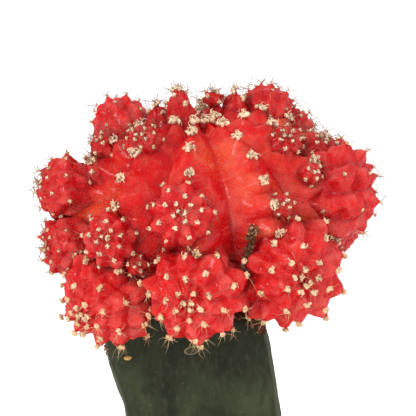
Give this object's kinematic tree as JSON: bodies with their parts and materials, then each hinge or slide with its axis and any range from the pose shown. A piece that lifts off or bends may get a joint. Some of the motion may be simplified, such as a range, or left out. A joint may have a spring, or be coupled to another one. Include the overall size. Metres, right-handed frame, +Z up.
{
  "type": "potted moon cactus",
  "caption": "Potted moon cactus: a clustered red globe cactus with spiny offsets, grafted on a green three-winged stock in a plain clay pot of soil.",
  "frame": {"origin": "centre of the pot's foot, on the surface it stands on", "axes": "+Z up along the pot, +X to the right and +Y to the back, with a flat face of the stock to the front"},
  "size_m": [0.088, 0.088, 0.1776],
  "materials": {
    "pot": "matte unglazed clay",
    "soil": "rough, gritty",
    "rootstock": "waxy, mottled",
    "scion": "waxy, translucent"
  },
  "bodies": {
    "root": {"pot": "pot", "soil": "soil", "rootstock": "rootstock", "scion": "scion"}
  },
  "joints": []
}
